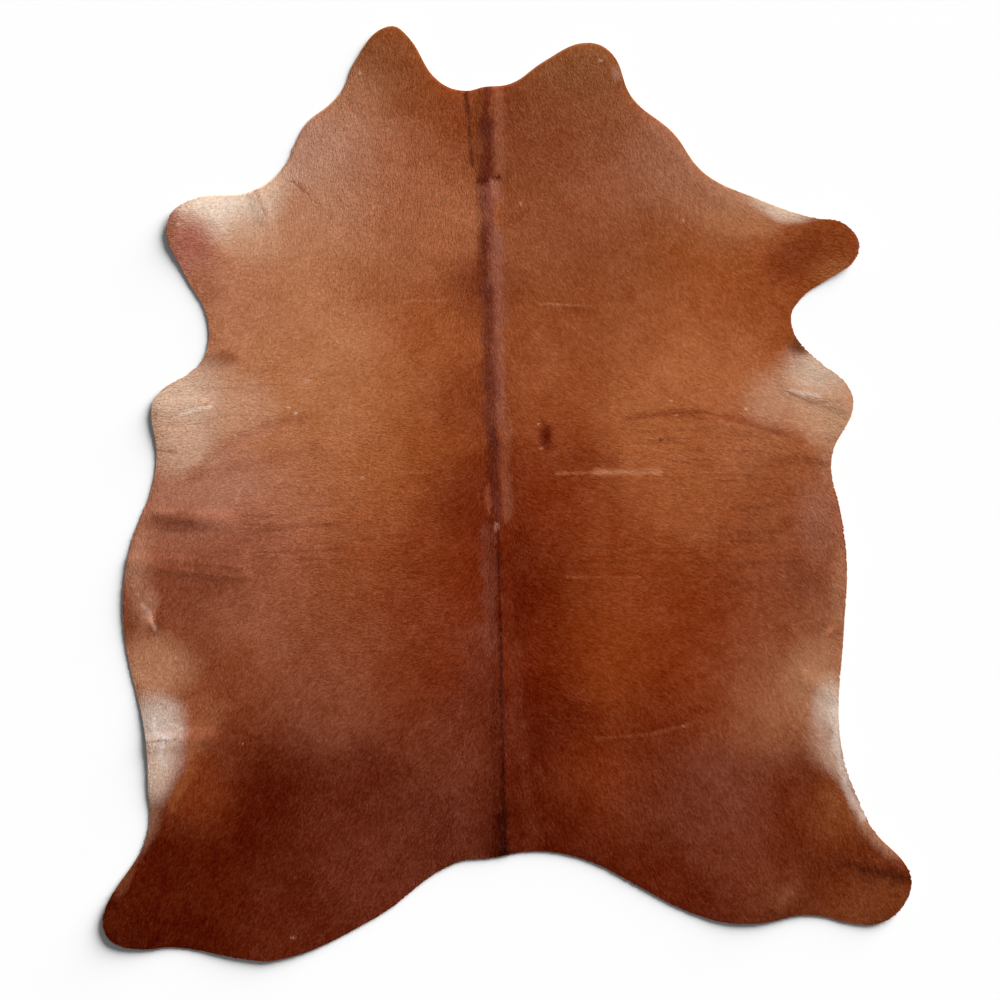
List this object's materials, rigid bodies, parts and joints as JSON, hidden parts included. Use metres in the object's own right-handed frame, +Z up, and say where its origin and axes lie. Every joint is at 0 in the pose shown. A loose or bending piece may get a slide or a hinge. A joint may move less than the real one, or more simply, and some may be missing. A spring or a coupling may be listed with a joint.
{
  "type": "hair-on cowhide rug",
  "caption": "Whole hair-on cowhide with short reddish-brown hair, trimmed to its natural outline and lying flat as a floor rug.",
  "frame": {"origin": "under the middle of the hide's bounding box, on the surface it lies on", "axes": "+Y towards the neck, -Y towards the hind legs, +X to the right flank seen from above, +Z up out of the hair side"},
  "size_m": [1.845, 2.136, 0.0157],
  "materials": {
    "coat": "short, smooth, lying hair on tanned leather, satin sheen; suede on the flesh side"
  },
  "bodies": {
    "root": {"hide": "coat"}
  },
  "joints": []
}
